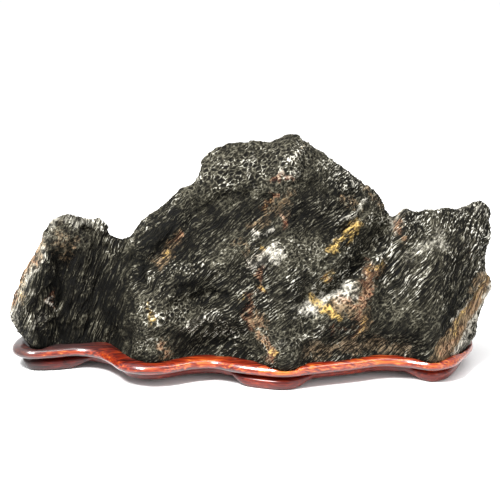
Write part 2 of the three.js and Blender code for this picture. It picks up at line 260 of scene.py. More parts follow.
def nearness(path: tuple[Point, ...], reach: float, x: np.ndarray, z: np.ndarray) -> np.ndarray:
    """How near points are to a path, from 1 on it to 0 at its reach.

    Args:
        path: The path's points [x, z].
        reach: The distance at which the nearness is 0.
        x: The points' distances to the right.
        z: The points' heights.

    Returns:
        The nearness of each point.
    """
    nearest = np.full(x.shape, np.inf)
    for (ax, az), (bx, bz) in zip(path, path[1:]):
        dx, dz = bx - ax, bz - az
        t = np.clip(((x - ax) * dx + (z - az) * dz) / (dx * dx + dz * dz), 0.0, 1.0)
        nearest = np.minimum(nearest, np.hypot(x - ax - t * dx, z - az - t * dz))
    return 1.0 - smoothstep(0.0, reach, nearest)


class Tint(Enum):
    """What a patch of the stone's surface shows."""

    PALE = "pale"  # worn ridges, bleached grey-white
    QUARTZ = "quartz"  # milky quartz that fills the gaps too
    RUST = "rust"  # iron stain, red-brown
    OCHRE = "ochre"  # limonite, yellow to tan
    CREPE = "crepe"  # honeycomb of small pits in place of ribs
    SMOOTH = "smooth"  # little relief, dark
    QUIET = "quiet"  # ribs that stay dark
    EARTH = "earth"  # a film of brown soil
    BLEACH = "bleach"  # a smooth pale grey skin


class Side(Enum):
    """Which face of the stone a patch lies on."""

    FRONT = 1
    BACK = -1
    BOTH = 0


PALE, QUARTZ, RUST, OCHRE, CREPE, SMOOTH, QUIET, EARTH, BLEACH = Tint
FRONT, BACK, BOTH = Side


@dataclass(frozen=True)
class Patch:
    """A stretch of the stone's surface with a tint of its own.

    Args:
        tint: What it shows.
        path: Points [x, z] in millimetres along its middle.
        reach: How far it spreads to each side, in millimetres.
        strength: How strong it is at its middle, from 0 to 1 or a little over.
        side: The face that it lies on.
    """

    tint: Tint
    path: tuple[Point, ...]
    reach: float
    strength: float = 1.0
    side: Side = FRONT

    def weight(self, x: np.ndarray, z: np.ndarray) -> np.ndarray:
        """Its strength at points of the picture plane; its soft edge lies a little past its reach."""
        return self.strength * nearness(self.path, 1.25 * self.reach, x, z)


PATCHES: tuple[Patch, ...] = (
    # The summit band and its veins.
    Patch(PALE, ((-37, 164), (-10, 170), (14, 174), (34, 186)), 22, 0.22),
    Patch(PALE, ((-34, 150), (-14, 150)), 14, 0.35),
    Patch(QUARTZ, ((1, 185), (0, 172), (0, 156)), 3.5, 0.75),
    Patch(PALE, ((41, 183), (34, 179), (26, 173)), 7, 0.6),
    Patch(OCHRE, ((42, 184), (33, 177)), 4, 0.5),
    Patch(QUARTZ, ((39, 169), (25, 166)), 6, 0.6),
    Patch(RUST, ((20, 162), (31, 166)), 5),
    Patch(RUST, ((19, 151), (15, 144), (13, 139)), 5, 1.1),
    Patch(OCHRE, ((16, 146), (12, 138)), 4, 0.9),
    Patch(EARTH, ((33, 154), (26, 146), (22, 138)), 9, 1.1),
    Patch(OCHRE, ((30, 152), (26, 146)), 5, 0.7),
    Patch(PALE, ((60, 168), (73, 160), (86, 152)), 8, 0.85),
    Patch(QUARTZ, ((80, 158), (96, 148)), 4, 0.7),
    Patch(EARTH, ((96, 147), (108, 136)), 7),
    # Below it, down to the white knuckle.
    Patch(RUST, ((26, 136), (29, 128)), 6, 1.15),
    Patch(QUARTZ, ((22, 140), (27, 134)), 4, 0.7),
    Patch(PALE, ((-27, 98), (-16, 110), (-5, 118)), 13, 0.6),
    Patch(PALE, ((-42, 78), (-24, 94)), 11, 0.4),
    Patch(QUARTZ, ((4, 118), (10, 122), (15, 126)), 3.5),
    Patch(EARTH, ((2, 124), (8, 130), (16, 134)), 8, 0.9),
    Patch(QUARTZ, ((4, 100), (14, 106), (22, 110)), 10),
    Patch(EARTH, ((0, 100), (12, 110)), 8, 0.8),
    Patch(OCHRE, ((9, 114), (14, 111)), 3.5, 1.4),
    Patch(EARTH, ((-12, 112), (0, 108)), 8, 0.7),
    # The worn bulge.
    Patch(PALE, ((25, 113), (44, 112), (62, 104)), 15, 0.6),
    Patch(PALE, ((22, 96), (44, 98), (62, 94)), 12, 0.8),
    Patch(PALE, ((24, 84), (50, 84)), 10, 0.7),
    Patch(RUST, ((8, 95), (6, 81)), 6, 1.2),
    Patch(OCHRE, ((9, 84), (4, 82)), 4, 1.1),
    Patch(RUST, ((64, 88), (60, 90)), 5, 1.2),
    Patch(OCHRE, ((66, 91), (56, 87)), 5, 0.9),
    Patch(PALE, ((12, 88), (24, 86)), 7, 0.8),
    # Limonite on the slope east of the bulge, with a pale lip above.
    Patch(OCHRE, ((88, 128), (80, 119)), 7, 1.35),
    Patch(QUARTZ, ((86, 128), (81, 120)), 2.5),
    Patch(OCHRE, ((80, 119), (69, 111), (60, 108)), 5, 1.3),
    Patch(RUST, ((87, 128), (82, 122)), 4, 0.8),
    Patch(QUARTZ, ((92, 138), (81, 131), (72, 127)), 4, 1.1),
    Patch(QUARTZ, ((74, 118), (66, 113)), 3, 0.8),
    Patch(PALE, ((90, 129), (100, 125), (110, 123)), 9),
    Patch(EARTH, ((74, 146), (84, 140)), 9, 0.8),
    # The quartz and limonite patch low on the right of the middle.
    Patch(QUARTZ, ((42, 62), (55, 68), (69, 71), (82, 76)), 8, 1.3),
    Patch(OCHRE, ((50, 69), (56, 65), (63, 61)), 6, 1.6),
    Patch(OCHRE, ((62, 61), (72, 56)), 5, 1.4),
    Patch(EARTH, ((68, 64), (84, 68), (94, 78)), 12, 1.1),
    Patch(RUST, ((74, 70), (84, 66)), 5, 1.1),
    Patch(RUST, ((97, 90), (97, 78), (89, 69)), 10, 1.3),
    Patch(RUST, ((90, 66), (90, 54), (87, 40)), 8, 1.1),
    Patch(EARTH, ((84, 62), (92, 56), (88, 38)), 12, 1.2),
    Patch(OCHRE, ((92, 52), (88, 42)), 5),
    Patch(PALE, ((60, 74), (73, 80), (88, 83)), 10, 0.95),
    Patch(RUST, ((66, 46), (80, 46)), 5, 0.8),
    # The rusty crease under the knuckle.
    Patch(PALE, ((6, 72), (18, 72), (30, 74)), 9, 0.6),
    Patch(RUST, ((0, 72), (-2, 61), (0, 45)), 6, 1.15),
    Patch(OCHRE, ((-6, 72), (-10, 66)), 5, 0.8),
    Patch(EARTH, ((4, 58), (10, 40)), 12, 1.1),
    Patch(RUST, ((6, 56), (11, 40)), 9, 0.8),
    # The nose and the foot.
    Patch(PALE, ((15, 51), (33, 50)), 5, 0.8),
    Patch(PALE, ((38, 40), (54, 44)), 5, 0.9),
    Patch(PALE, ((20, 60), (50, 54)), 14, 0.4),
    Patch(PALE, ((13, 40), (21, 45), (33, 38)), 13, 0.6),
    Patch(RUST, ((12, 42), (18, 26)), 7, 1.2),
    Patch(OCHRE, ((12, 38), (20, 30)), 5, 0.9),
    Patch(SMOOTH, ((44, 28), (73, 31), (100, 28), (128, 25)), 11),
    Patch(EARTH, ((46, 27), (73, 30), (100, 27), (126, 24)), 12, 1.1),
    Patch(PALE, ((44, 28), (73, 31), (100, 28), (128, 25)), 14, 0.5),
    Patch(PALE, ((-40, 34), (-8, 40)), 15, 0.6),
    Patch(SMOOTH, ((-57, 32), (-31, 26)), 12, 0.5),
    # The seam between the middle and the right wing.
    Patch(QUARTZ, ((127, 122), (120, 113), (111, 102), (97, 92)), 3, 0.9),
    Patch(PALE, ((122, 114), (111, 101), (97, 90), (78, 78)), 9, 0.9),
    Patch(OCHRE, ((106, 95), (96, 88)), 5, 1.2),
    Patch(EARTH, ((108, 94), (98, 84)), 8, 1.2),
    Patch(PALE, ((124, 130), (120, 123)), 7, 1.1),
    Patch(RUST, ((122, 123), (124, 114)), 6, 1.2),
    Patch(EARTH, ((122, 123), (124, 114)), 8, 1.1),
    # The right wing.
    Patch(PALE, ((130, 102), (144, 108), (156, 114)), 12),
    Patch(QUARTZ, ((134, 103), (148, 109)), 8, 0.55),
    Patch(PALE, ((118, 68), (127, 80), (137, 88)), 12, 0.85),
    Patch(PALE, ((100, 76), (114, 82), (120, 92)), 9, 0.8),
    Patch(PALE, ((170, 130), (182, 136), (194, 136)), 9, 1.1),
    Patch(QUARTZ, ((174, 134), (186, 139)), 5, 0.7),
    Patch(PALE, ((136, 124), (166, 126)), 13, 1.3),
    Patch(PALE, ((178, 124), (186, 112), (190, 90)), 17, 1.3),
    Patch(PALE, ((144, 78), (158, 94)), 10, 0.45),
    Patch(PALE, ((150, 60), (160, 66)), 8, 0.4),
    Patch(EARTH, ((176, 116), (184, 94)), 12, 0.5),
    # Its broken edge: a tan band between pale lips, and grey layers beside it.
    Patch(OCHRE, ((200, 80), (195, 73)), 7),
    Patch(QUARTZ, ((202, 83), (197, 77)), 6),
    Patch(BLEACH, ((202, 84), (196, 80)), 7, 1.2),
    Patch(EARTH, ((197, 71), (190, 57), (178, 43), (167, 32), (157, 20)), 16, 2.8),
    Patch(OCHRE, ((195, 73), (186, 60), (174, 47), (164, 37)), 7, 1.1),
    Patch(RUST, ((194, 68), (189, 58), (182, 50)), 7, 1.2),
    Patch(RUST, ((170, 38), (160, 27), (156, 20)), 8, 1.2),
    Patch(QUARTZ, ((191, 74), (180, 62), (166, 50)), 3, 1.1),
    Patch(QUARTZ, ((203, 62), (196, 50), (186, 37), (176, 27), (165, 16)), 6, 2.0),
    Patch(PALE, ((204, 56), (192, 38), (178, 24)), 11),
    Patch(PALE, ((192, 66), (178, 48), (162, 30)), 12, 0.7),
    Patch(SMOOTH, ((200, 62), (186, 44), (166, 24)), 16, 0.8),
    # The west flank, its niche and its boulder.
    Patch(RUST, ((-58, 114), (-62, 108)), 4, 1.2),
    Patch(EARTH, ((-60, 114), (-66, 100), (-74, 96)), 9, 1.2),
    Patch(OCHRE, ((-65, 101), (-70, 98)), 4, 1.1),
    # The pale band along the top of the ledge over the niche is a painted highlight.
    Patch(PALE, ((-82, 83), (-66, 90), (-49, 91)), 5, 0.7),
    Patch(PALE, ((-84, 60), (-69, 59), (-54, 57)), 12, 0.95),
    Patch(OCHRE, ((-82, 64), (-76, 58)), 6, 0.9),
    Patch(PALE, ((-56, 46), (-44, 46)), 6),
    Patch(PALE, ((-48, 50), (-35, 54), (-24, 57)), 7, 0.95),
    Patch(PALE, ((-94, 63), (-86, 56)), 4, 0.9),
    Patch(PALE, ((-93, 30), (-80, 40), (-67, 34)), 12, 0.35),
    Patch(RUST, ((-70, 38), (-69, 25)), 5, 1.1),
    Patch(EARTH, ((-70, 38), (-69, 25)), 9),
    # The saddle.
    Patch(PALE, ((-118, 96), (-109, 102), (-98, 106)), 6, 0.8),
    Patch(PALE, ((-92, 112), (-76, 128), (-58, 144)), 7, 0.75),
    # The left wing: dark and ribbed, with a bleached crest and outer edge.
    Patch(PALE, ((-168, 114), (-157, 125), (-140, 122), (-127, 118)), 8, 1.1, BOTH),
    Patch(QUARTZ, ((-162, 122), (-144, 124), (-128, 119)), 4, 0.8, BOTH),
    Patch(EARTH, ((-160, 114), (-148, 104), (-154, 90)), 13, 0.75),
    Patch(RUST, ((-150, 106), (-146, 98)), 6, 0.5),
    Patch(PALE, ((-168, 98), (-180, 77), (-191, 60), (-197, 42)), 9, 0.85, BOTH),
    Patch(QUARTZ, ((-168, 98), (-180, 77), (-191, 60), (-195, 44)), 3.5, 1.1),
    Patch(EARTH, ((-170, 104), (-184, 80), (-196, 52)), 9, 1.3, BOTH),
    Patch(RUST, ((-170, 110), (-184, 84), (-199, 51)), 4, 1.2, BOTH),
    Patch(OCHRE, ((-184, 72), (-190, 56)), 6, 0.9),
    Patch(QUARTZ, ((-164, 57), (-164, 52)), 3, 1.4),
    Patch(RUST, ((-164, 60), (-163, 50)), 5),
    Patch(PALE, ((-168, 45), (-161, 45), (-154, 55)), 4, 0.9),
    Patch(SMOOTH, ((-186, 18), (-184, 32), (-174, 26)), 12, 1.0, BOTH),
    Patch(PALE, ((-188, 24), (-184, 34)), 7, 0.4, BOTH),
    # Ribbed stretches that stay dark.
    Patch(QUIET, ((-152, 84), (-150, 60), (-150, 24)), 34, 1.0, BOTH),
    Patch(QUIET, ((-122, 84), (-120, 60), (-112, 26)), 24, 1.0, BOTH),
    Patch(QUIET, ((-86, 104), (-70, 110)), 20),
    Patch(QUIET, ((-58, 84), (-20, 66)), 13, 0.7),
    Patch(QUIET, ((-34, 138), (-14, 126)), 16, 0.9),
    Patch(QUIET, ((-62, 124), (-50, 110)), 18, 0.9),
    Patch(QUIET, ((38, 142), (58, 128), (66, 122)), 19, 0.35),
    Patch(QUIET, ((56, 152), (76, 142)), 11, 0.35),
    Patch(QUIET, ((-60, 30), (-30, 34), (-6, 38)), 15, 0.25),
    Patch(QUIET, ((28, 82), (52, 84)), 9, 0.2),
    Patch(QUIET, ((-8, 138), (14, 128)), 16, 0.5),
    Patch(QUIET, ((158, 56), (168, 70)), 9, 0.9),
    Patch(QUIET, ((104, 50), (118, 44), (146, 36)), 16, 0.5),
    # A smooth pale skin over ribs and pits.
    Patch(BLEACH, ((-170, 106), (-182, 78), (-193, 58), (-197, 40)), 10, 1.4, BOTH),
    Patch(BLEACH, ((-164, 118), (-156, 125), (-140, 122), (-128, 118)), 7, 1.3, BOTH),
    Patch(BLEACH, ((-186, 22), (-180, 34), (-176, 46)), 9, 0.9, BOTH),
    Patch(BLEACH, ((131, 102), (144, 108), (155, 113)), 10),
    Patch(BLEACH, ((120, 70), (127, 80), (136, 86)), 9, 0.8),
    Patch(BLEACH, ((172, 132), (182, 137), (192, 136)), 7),
    Patch(BLEACH, ((204, 58), (194, 42), (178, 26)), 10, 1.4),
    Patch(BLEACH, ((62, 74), (74, 79), (88, 82)), 8, 0.7),
    Patch(BLEACH, ((122, 114), (110, 101), (97, 90)), 4, 0.6),
    Patch(BLEACH, ((34, 68), (52, 66), (70, 70)), 8),
    Patch(BLEACH, ((2, 104), (14, 108)), 8, 0.6),
    Patch(BLEACH, ((38, 168), (25, 166)), 6, 0.6),
    Patch(BLEACH, ((42, 184), (28, 174)), 5, 0.6),
    Patch(BLEACH, ((10, 70), (26, 72)), 7, 0.7),
    Patch(BLEACH, ((-48, 50), (-36, 54), (-28, 57)), 6, 0.8),
    Patch(BLEACH, ((18, 36), (30, 42)), 9, 0.7),
    Patch(BLEACH, ((64, 170), (84, 156)), 5, 0.8),
    Patch(BLEACH, ((124, 131), (118, 122)), 6, 1.3),
    Patch(BLEACH, ((44, 28), (73, 31), (100, 28), (128, 25)), 14, 0.7),
    Patch(BLEACH, ((-20, 150), (30, 150)), 10, 0.6, BACK),
    Patch(BLEACH, ((60, 104), (84, 92)), 8, 1.0, BACK),
    # Where pits show instead of ribs.
    Patch(CREPE, ((-36, 158), (0, 168), (40, 178)), 30, 1.0, BOTH),
    Patch(CREPE, ((25, 113), (44, 110), (60, 102)), 18, 0.7),
    Patch(CREPE, ((-24, 100), (-10, 114)), 14, 0.6),
    Patch(CREPE, ((-82, 61), (-56, 57)), 16),
    Patch(CREPE, ((-93, 30), (-78, 38), (-66, 30)), 16, 0.8),
    Patch(CREPE, ((13, 38), (36, 42)), 18, 0.9),
    Patch(CREPE, ((50, 66), (92, 70)), 16, 0.8),
    Patch(CREPE, ((92, 128), (110, 122)), 10, 0.9),
    Patch(CREPE, ((-158, 112), (-140, 106)), 16, 0.8),
    Patch(CREPE, ((104, 62), (140, 54)), 18, 0.6),
    Patch(CREPE, ((130, 102), (156, 114)), 12, 0.4),
    # The back, which the picture doesn't show.
    Patch(PALE, ((-60, 130), (0, 160), (40, 170)), 26, 0.6, BACK),
    Patch(PALE, ((-40, 74), (10, 82), (56, 70)), 12, 0.7, BACK),
    Patch(QUARTZ, ((58, 112), (70, 102), (86, 96)), 7, 1.2, BACK),
    Patch(OCHRE, ((60, 102), (74, 88)), 7, 1.2, BACK),
    Patch(RUST, ((-70, 110), (-64, 70), (-56, 40)), 8, 1.0, BACK),
    Patch(EARTH, ((-72, 116), (-62, 66), (-52, 34)), 15, 1.1, BACK),
    Patch(PALE, ((130, 70), (168, 112)), 15, 0.6, BACK),
    Patch(QUARTZ, ((-140, 84), (-112, 60)), 5, 0.9, BACK),
    Patch(EARTH, ((110, 50), (160, 40)), 15, 1.0, BACK),
    Patch(QUIET, ((0, 120), (60, 130)), 26, 0.8, BACK),
    Patch(QUIET, ((-30, 50), (40, 40)), 20, 0.8, BACK),
    Patch(CREPE, ((-30, 100), (20, 120)), 30, 0.8, BACK),
)


@dataclass(frozen=True)
class Cut:
    """A narrow groove, or a ridge, that runs along a path on one face of the stone.

    Args:
        height: How far it stands out at its middle, in millimetres, below 0 for a groove.
        reach: How far it spreads to each side, in millimetres.
        path: Points [x, z] in millimetres along its middle.
        side: The face that it lies on.
    """

    height: float
    reach: float
    path: tuple[Point, ...]
    side: Side = FRONT

    def lift(self, x: np.ndarray, z: np.ndarray) -> np.ndarray:
        """How far it lifts the surface at points of the picture plane, in millimetres."""
        return self.height * nearness(self.path, self.reach, x, z)


CUTS: tuple[Cut, ...] = (
    # The seam down the summit band, the step under the band, and the veins' ridges.
    Cut(1.0, 3.0, ((1, 185), (0, 172), (0, 154))),
    Cut(-1.4, 6.0, ((-44, 150), (-22, 148), (-4, 152), (12, 158))),
    Cut(1.6, 5.0, ((41, 183), (34, 179), (26, 173))),
    Cut(1.6, 4.0, ((39, 169), (25, 166))),
    Cut(-2.0, 4.0, ((42, 162), (28, 159), (18, 150), (12, 136))),
    Cut(1.8, 6.0, ((56, 172), (73, 161), (90, 152))),
    Cut(-1.8, 5.0, ((48, 158), (64, 150), (84, 146))),
    # The knuckle, the ring above it and the joint that runs down from it.
    Cut(2.8, 9.0, ((4, 104), (14, 109), (22, 113))),
    Cut(1.8, 3.0, ((2, 114), (6, 120), (15, 126))),
    Cut(-2.2, 4.0, ((7, 115), (14, 120), (22, 124))),
    Cut(-2.0, 5.0, ((8, 95), (3, 78), (-3, 60), (0, 44), (8, 30))),
    Cut(-1.6, 4.0, ((30, 134), (24, 122), (26, 118))),
    # The bulge and the slope east of it.
    Cut(-1.8, 5.0, ((20, 86), (38, 84), (56, 84))),
    Cut(-3.0, 3.5, ((91, 121), (78, 110), (66, 107), (58, 100))),
    Cut(1.6, 3.0, ((86, 116), (76, 106), (66, 102))),
    Cut(2.0, 3.0, ((92, 138), (81, 131), (71, 126))),
    Cut(-3.0, 3.5, ((98, 137), (88, 131), (78, 124), (72, 121))),
    Cut(-1.2, 9.0, ((120, 123), (111, 112), (99, 101), (84, 92))),
    # The seam edge, the pale shelf and the patch of quartz under it.
    Cut(2.4, 5.0, ((126, 122), (120, 112), (111, 101), (97, 91), (78, 79))),
    Cut(-1.8, 4.0, ((116, 96), (104, 86), (96, 76))),
    Cut(1.8, 5.0, ((42, 60), (56, 66), (72, 70))),
    Cut(-2.2, 4.0, ((38, 74), (52, 76), (64, 76))),
    Cut(1.2, 2.5, ((15, 51), (24, 50), (33, 50))),
    Cut(1.4, 3.0, ((36, 39), (46, 43), (56, 44))),
    Cut(-1.8, 4.0, ((42, 36), (66, 38), (96, 36))),
    # The right wing's grooves, which follow the ribs, and its broken edge.
    Cut(-1.8, 3.5, ((140, 118), (128, 106), (116, 98))),
    Cut(-1.6, 3.0, ((166, 124), (158, 108), (150, 94), (142, 82))),
    Cut(-1.6, 3.0, ((180, 118), (174, 100), (166, 86), (156, 70))),
    Cut(-1.6, 3.0, ((192, 110), (188, 92))),
    Cut(-1.6, 3.0, ((150, 72), (140, 56), (134, 40))),
    Cut(1.4, 2.5, ((188, 67), (180, 61), (170, 53), (162, 45))),
    Cut(-1.6, 6.0, ((192, 70), (181, 58), (166, 46), (155, 36), (151, 26))),
    Cut(1.8, 3.0, ((198, 62), (190, 53), (170, 34), (159, 24))),
    Cut(-2.2, 2.5, ((203, 57), (192, 42), (180, 28))),
    Cut(-2.0, 2.0, ((194, 52), (184, 38), (172, 26))),
    # The west flank, its niche and its boulder.
    Cut(-4.0, 7.0, ((-88, 96), (-86, 82))),
    Cut(2.6, 5.0, ((-83, 84), (-66, 91), (-48, 92), (-34, 98))),
    Cut(-2.6, 5.0, ((-82, 76), (-64, 80), (-44, 80))),
    Cut(-3.0, 5.0, ((-96, 66), (-92, 52), (-99, 36), (-100, 24))),
    Cut(1.6, 3.0, ((-94, 63), (-86, 56))),
    Cut(1.8, 5.0, ((-56, 47), (-44, 48), (-35, 54), (-22, 58))),
    Cut(-2.4, 5.0, ((-58, 38), (-42, 40), (-26, 46))),
    Cut(-1.6, 3.0, ((-48, 128), (-58, 112), (-70, 100))),
    # The saddle's ribs and the left wing.
    Cut(-2.0, 3.0, ((-122, 100), (-110, 92), (-100, 98))),
    Cut(-1.8, 3.0, ((-106, 86), (-96, 96), (-84, 108))),
    Cut(-5.0, 4.0, ((-137, 115), (-130, 112))),
    Cut(2.2, 5.0, ((-126, 119), (-121, 114))),
    Cut(-3.2, 4.5, ((-160, 98), (-157, 84), (-158, 71), (-168, 69), (-179, 52))),
    Cut(-3.0, 4.5, ((-173, 48), (-171, 36), (-171, 24))),
    Cut(1.6, 3.0, ((-169, 44), (-161, 45), (-153, 56))),
    Cut(-1.8, 3.0, ((-166, 40), (-158, 40), (-148, 54))),
    Cut(-1.6, 3.0, ((-140, 84), (-146, 60), (-150, 36))),
    Cut(-1.6, 3.0, ((-124, 80), (-132, 54), (-136, 30))),
    Cut(-2.0, 4.0, ((-112, 70), (-116, 44), (-112, 24))),
    # The back.
    Cut(3.0, 8.0, ((-70, 66), (-30, 78), (20, 84), (64, 70)), BACK),
    Cut(-3.0, 6.0, ((-60, 54), (-20, 64), (30, 68)), BACK),
    Cut(-3.0, 5.0, ((-46, 150), (-30, 118), (-34, 90)), BACK),
    Cut(-3.0, 5.0, ((52, 160), (64, 120), (60, 84)), BACK),
    Cut(2.4, 7.0, ((-4, 176), (10, 140), (4, 104)), BACK),
    Cut(-2.6, 4.0, ((110, 110), (128, 84), (150, 60)), BACK),
    Cut(-2.6, 4.0, ((-160, 104), (-146, 74), (-150, 40)), BACK),
    Cut(2.2, 5.0, ((140, 112), (158, 84), (176, 64)), BACK),
)


@dataclass(frozen=True)
class Pattern:
    """A texture drawn at a real size.

    Args:
        size: Millimetres from lump to lump along x, y and z, or along the dip, through the stone
            and across the dip where the place is turned so.
        detail: How many finer layers lie over it.
        roughness: How strong those layers are.
        distortion: How far it wanders, in lumps.
        cells: Whether it gives the distance to the walls of cells in place of noise.
    """

    size: Size
    detail: float = 2.0
    roughness: float = 0.5
    distortion: float = 0.0
    cells: bool = False

    def draw(self, tree: Tree, spot: Source, stretch: float = 1.0) -> Node:
        """Draws the texture.

        Args:
            tree: A geometry or shader tree.
            spot: The place in millimetres.
            stretch: How much longer than its size it is along x.

        Returns:
            The texture's node, whose first output is its value.
        """
        lumps = (1.0 / (self.size[0] * stretch), 1.0 / self.size[1], 1.0 / self.size[2])
        scaled = add_node(tree, VECTOR_MATH, [spot, lumps], operation="MULTIPLY")
        inputs = {"Vector": scaled, "Scale": 1.0}
        if self.cells:
            return add_node(tree, "ShaderNodeTexVoronoi", inputs, feature="DISTANCE_TO_EDGE")
        inputs |= {"Detail": self.detail, "Roughness": self.roughness, "Distortion": self.distortion}
        return add_node(tree, NOISE, inputs)


@dataclass(frozen=True)
class Bedding:
    """A direction that the stone's ribs follow, and the stretch of the stone that has it."""

    dip: float  # degrees up from the level
    middle: float  # x of the middle of the stretch, in millimetres
    half: float  # half the stretch's width
    stretch: float = 1.0  # how much longer the ribs are there


BEDDINGS = (
    Bedding(70, -166, 56, 2.0),
    Bedding(42, -38, 62, 1.1),
    Bedding(35, 60, 36),
    Bedding(48, 124, 28, 1.8),
    Bedding(61, 180, 30, 3.4),
)
BEDDING_BLEND = 10.0  # millimetres to each side over which one direction turns into the next


@dataclass(frozen=True)
class Stain:
    """A stain: where it lies, how much of the rock's own tone it hides, and its hues from dark to light."""

    tint: Tint
    cover: float
    hues: tuple[str, ...]


@dataclass(frozen=True)
class RibbedRock:
    """Weathered schist: hard laminae stand proud as thin pale ribs round dark pits.

    The eye sees a charcoal ground with painted shade in the pits, rib crests a millimetre wide that
    are bleached and carry a painted highlight, and iron and quartz stains along the seams. It is matt,
    with a slight wax sheen on the crests.
    """

    name: str = "weathered_ribbed_schist"
    # From the bottom of a pit to a worn crest: the near-black pit bottom is painted shade, and the
    # pale crest is bleached wear with a painted highlight.
    tones: tuple[tuple[float, str], ...] = (
        (0.0, "#060605"), (0.10, "#24221a"), (0.42, "#605d50"), (0.88, "#d8d5ca"),
    )
    stains: tuple[Stain, ...] = (
        Stain(BLEACH, 0.75, ("#5e5b52", "#a19d91")),
        Stain(EARTH, 0.75, ("#42372a", "#a08768")),
        Stain(RUST, 0.8, ("#2c1812", "#6c3826", "#a08064")),
        Stain(QUARTZ, 0.85, ("#868175", "#dad5c8")),
        Stain(OCHRE, 0.85, ("#463822", "#7c6238", "#ccac62")),
    )
    roughness: float = 0.7
    sheen: float = 0.08
    bump: float = 1.1 * MM
    rib: Pattern = Pattern((13.0, 4.0, 1.05), 2.0, 0.6)
    groove: Pattern = Pattern((24.0, 6.0, 4.2))
    fold: Pattern = Pattern((40.0, 14.0, 8.0), 3.0, 0.55)
    pore: Pattern = Pattern((4.4, 2.8, 1.6), cells=True)
    pit: Pattern = Pattern((5.0, 3.9, 3.0), cells=True)
    pit_grain: Pattern = Pattern((2.5, 1.95, 1.5), 2.0, 0.6)
    pit_turn: float = 38.0  # degrees from the level
    crag: Pattern = Pattern((19.0,) * 3, 4.0, 0.55)
    cloud: Pattern = Pattern((11.765,) * 3, 5.0, 0.62)
    blotch: Pattern = Pattern((3.846,) * 3, 4.0, 0.7)
    mottle: Pattern = Pattern((2.381,) * 3, 4.0, 0.75)
    grit: Pattern = Pattern((1.25,) * 3, 4.0, 0.65)


def rock_pattern(tree: Tree, rest: Source, pitted: Source, rock: RibbedRock) -> dict[str, Node]:
    """Draws the ribs and pits, the same in the mesh's displacement and in the material.

    Args:
        tree: A geometry or shader tree.
        rest: The undisplaced place in the frame, in metres.
        pitted: Where pits show in place of ribs.
        rock: The rock's patterns.

    Returns:
        Nodes for "crest", 1 on a rib's thin crest, for "flank", 1 on the crest and 0 at the
        bottom of a groove or pit, for "fold", coarse relief around 0.5, and for "bent", the
        place in millimetres, bent, and "spot", the same place as it is.
    """
    node = partial(add_node, tree)
    spot = node(VECTOR_MATH, [rest, (1.0 / MM,) * 3], operation="MULTIPLY")
    # Ribs wander over their length, and jog a little from one to the next.
    bent = shaken(tree, shaken(tree, spot, 26.0, 6.0), 6.0, 0.9)
    across = node("ShaderNodeSeparateXYZ", [spot])
    blends: dict[str, Node] = {}
    for bedding in BEDDINGS:
        turn = {"Vector": bent, "Angle": math.radians(bedding.dip)}
        turned = node("ShaderNodeVectorRotate", turn, rotation_type="Y_AXIS")
        rib = rock.rib.draw(tree, turned, bedding.stretch)
        wall = rock.pore.draw(tree, shaken(tree, turned, 3.0, 1.2), bedding.stretch)
        off_groove = from_half(tree, rock.groove.draw(tree, turned, bedding.stretch))
        groove = node(RANGE, [off_groove, 0.0, 0.03, 0.15, 1.0], **EASED)
        crest = node(RANGE, [rib, 0.46, 0.60], **EASED)
        flank = node(RANGE, [rib, 0.34, 0.58], **EASED)
        speckle = node(RANGE, [wall, 0.02, 0.2, 1.0, 0.12], **EASED)
        crest = node(MATH, [crest, speckle], operation="MULTIPLY")
        drawn = {
            "crest": node(MATH, [crest, groove], operation="MULTIPLY"),
            "flank": node(MATH, [flank, groove], operation="MULTIPLY"),
            "fold": rock.fold.draw(tree, turned),
        }
        if not blends:
            blends = drawn
            continue
        start = bedding.middle - bedding.half + PLAN_SHIFT[0]
        share = node(RANGE, [across, start - BEDDING_BLEND, start + BEDDING_BLEND], **EASED)
        blends = {name: node(MIX, {0: share, 2: blends[name], 3: drawn[name]}) for name in drawn}
    turn = {"Vector": shaken(tree, spot, 3.3, 2.0), "Angle": math.radians(rock.pit_turn)}
    turned = node("ShaderNodeVectorRotate", turn, rotation_type="Y_AXIS")
    wall = rock.pit.draw(tree, turned)
    lip = node(RANGE, [wall, 0.02, 0.2, 1.0, 0.0], **EASED)
    broken = node(RANGE, [rock.pit_grain.draw(tree, turned), 0.4, 0.62, 0.1, 1.0], **EASED)
    lip = node(MATH, [lip, broken], operation="MULTIPLY")
    basin = node(RANGE, [wall, 0.05, 0.5, 1.0, 0.0], **EASED)
    return {
        "crest": node(MIX, {0: pitted, 2: blends["crest"], 3: lip}),
        "flank": node(MIX, {0: pitted, 2: blends["flank"], 3: basin}),
        "fold": blends["fold"], "bent": bent, "spot": spot,
    }


